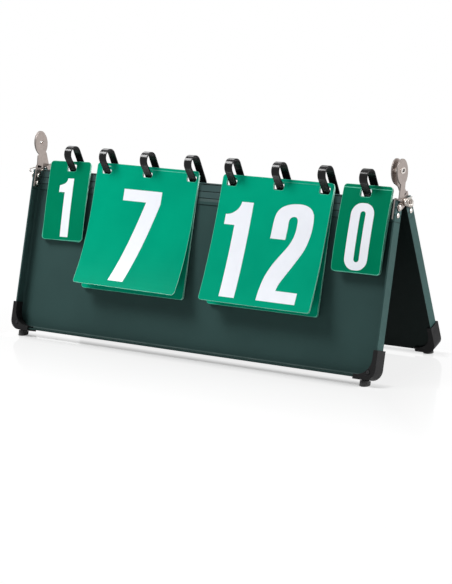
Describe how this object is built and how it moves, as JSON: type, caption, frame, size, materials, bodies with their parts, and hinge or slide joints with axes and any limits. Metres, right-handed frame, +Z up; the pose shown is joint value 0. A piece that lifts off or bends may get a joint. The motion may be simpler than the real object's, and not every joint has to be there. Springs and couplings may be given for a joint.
{
  "type": "flip scoreboard",
  "caption": "Table-top flip scoreboard: two hinged tray shells standing as an A-frame, with numbered flip cards on ring straps.",
  "frame": {"origin": "on the standing surface, midway between the ends and between the front and back feet", "axes": "+X along the board to the right, +Y to the back, +Z up"},
  "size_m": [0.3986, 0.1174, 0.1806],
  "materials": {
    "shell_green": "satin dark green moulding",
    "cap_black": "satin black moulding",
    "foot_rubber": "matt black rubber",
    "strap_black": "glossy black strap",
    "card_green": "semi-gloss green card with printed numeral",
    "plated_steel": "nickel-plated steel",
    "spring_steel": "bright spring wire"
  },
  "bodies": {
    "back_frame": {"back_shell": "shell_green", "back_left_cap": "cap_black", "back_left_cap_screw": "plated_steel", "back_left_foot": "foot_rubber", "back_left_leaf": "plated_steel", "back_left_lever": "plated_steel", "back_left_upper_rivet": "plated_steel", "back_left_lower_rivet": "plated_steel", "back_right_cap": "cap_black", "back_right_cap_screw": "plated_steel", "back_right_foot": "foot_rubber", "back_right_leaf": "plated_steel", "back_right_lever": "plated_steel", "back_right_upper_rivet": "plated_steel", "back_right_lower_rivet": "plated_steel", "left_pin": "plated_steel", "right_pin": "plated_steel", "left_spring": "spring_steel", "right_spring": "spring_steel"},
    "front_frame": {"front_shell": "shell_green", "front_left_cap": "cap_black", "front_left_cap_screw": "plated_steel", "front_left_foot": "foot_rubber", "front_left_leaf": "plated_steel", "front_left_lever": "plated_steel", "front_left_upper_rivet": "plated_steel", "front_left_lower_rivet": "plated_steel", "front_right_cap": "cap_black", "front_right_cap_screw": "plated_steel", "front_right_foot": "foot_rubber", "front_right_leaf": "plated_steel", "front_right_lever": "plated_steel", "front_right_upper_rivet": "plated_steel", "front_right_lower_rivet": "plated_steel"},
    "ring_1": {"ring_1": "strap_black"},
    "ring_2": {"ring_2": "strap_black"},
    "ring_3": {"ring_3": "strap_black"},
    "ring_4": {"ring_4": "strap_black"},
    "ring_5": {"ring_5": "strap_black"},
    "ring_6": {"ring_6": "strap_black"},
    "ring_7": {"ring_7": "strap_black"},
    "ring_8": {"ring_8": "strap_black"},
    "set_left_stack": {"set_left_rear_card": "card_green", "set_left_middle_card": "card_green"},
    "set_left_card": {"set_left_front_card": "card_green"},
    "points_left_stack": {"points_left_rear_card": "card_green", "points_left_middle_card": "card_green"},
    "points_left_card": {"points_left_front_card": "card_green"},
    "points_right_stack": {"points_right_rear_card": "card_green", "points_right_middle_card": "card_green"},
    "points_right_card": {"points_right_front_card": "card_green"},
    "set_right_stack": {"set_right_rear_card": "card_green", "set_right_middle_card": "card_green"},
    "set_right_card": {"set_right_front_card": "card_green"}
  },
  "joints": [
    {"name": "front_fold", "type": "hinge", "parent": "back_frame", "child": "front_frame", "pos_m": [0, 0, 0.14358], "axis": [1, 0, 0], "range_deg": [0, 35.8]},
    {"name": "ring_1_swivel", "type": "hinge", "parent": "back_frame", "child": "ring_1", "pos_m": [-0.1524, 0.00635, 0.14268], "axis": [-1, 0, 0], "range_deg": [0, 12]},
    {"name": "ring_2_swivel", "type": "hinge", "parent": "back_frame", "child": "ring_2", "pos_m": [-0.1121, 0.00635, 0.14268], "axis": [-1, 0, 0], "range_deg": [0, 12]},
    {"name": "ring_3_swivel", "type": "hinge", "parent": "back_frame", "child": "ring_3", "pos_m": [-0.066, 0.00635, 0.14268], "axis": [-1, 0, 0], "range_deg": [0, 12]},
    {"name": "ring_4_swivel", "type": "hinge", "parent": "back_frame", "child": "ring_4", "pos_m": [-0.0177, 0.00635, 0.14268], "axis": [-1, 0, 0], "range_deg": [0, 12]},
    {"name": "ring_5_swivel", "type": "hinge", "parent": "back_frame", "child": "ring_5", "pos_m": [0.0253, 0.00635, 0.14268], "axis": [-1, 0, 0], "range_deg": [0, 12]},
    {"name": "ring_6_swivel", "type": "hinge", "parent": "back_frame", "child": "ring_6", "pos_m": [0.0736, 0.00635, 0.14268], "axis": [-1, 0, 0], "range_deg": [0, 12]},
    {"name": "ring_7_swivel", "type": "hinge", "parent": "back_frame", "child": "ring_7", "pos_m": [0.1197, 0.00635, 0.14268], "axis": [-1, 0, 0], "range_deg": [0, 12]},
    {"name": "ring_8_swivel", "type": "hinge", "parent": "back_frame", "child": "ring_8", "pos_m": [0.16, 0.00635, 0.14268], "axis": [-1, 0, 0], "range_deg": [0, 12]},
    {"name": "set_left_stack_lift", "type": "hinge", "parent": "ring_1", "child": "set_left_stack", "pos_m": [-0.1542, -0.00083, 0.15494], "axis": [-1, 0, 0], "range_deg": [0, 20]},
    {"name": "set_left_card_lift", "type": "hinge", "parent": "set_left_stack", "child": "set_left_card", "pos_m": [-0.1542, -0.00205, 0.1557], "axis": [-1, 0, 0], "range_deg": [0, 60]},
    {"name": "points_left_stack_lift", "type": "hinge", "parent": "ring_3", "child": "points_left_stack", "pos_m": [-0.0668, -0.00136, 0.15332], "axis": [-1, 0, 0], "range_deg": [0, 20]},
    {"name": "points_left_card_lift", "type": "hinge", "parent": "points_left_stack", "child": "points_left_card", "pos_m": [-0.0668, -0.00187, 0.15627], "axis": [-1, 0, 0], "range_deg": [0, 60]},
    {"name": "points_right_stack_lift", "type": "hinge", "parent": "ring_6", "child": "points_right_stack", "pos_m": [0.0718, -0.00139, 0.15323], "axis": [-1, 0, 0], "range_deg": [0, 20]},
    {"name": "points_right_card_lift", "type": "hinge", "parent": "points_right_stack", "child": "points_right_card", "pos_m": [0.0718, -0.00224, 0.15513], "axis": [-1, 0, 0], "range_deg": [0, 60]},
    {"name": "set_right_stack_lift", "type": "hinge", "parent": "ring_8", "child": "set_right_stack", "pos_m": [0.1613, -0.00147, 0.15491], "axis": [-1, 0, 0], "range_deg": [0, 20]},
    {"name": "set_right_card_lift", "type": "hinge", "parent": "set_right_stack", "child": "set_right_card", "pos_m": [0.1613, -0.00269, 0.15568], "axis": [-1, 0, 0], "range_deg": [0, 60]}
  ],
  "couplings": [
    {"joint": "ring_2_swivel", "follows": "ring_3_swivel", "ratio": 1},
    {"joint": "ring_4_swivel", "follows": "ring_3_swivel", "ratio": 1},
    {"joint": "ring_5_swivel", "follows": "ring_6_swivel", "ratio": 1},
    {"joint": "ring_7_swivel", "follows": "ring_6_swivel", "ratio": 1}
  ]
}
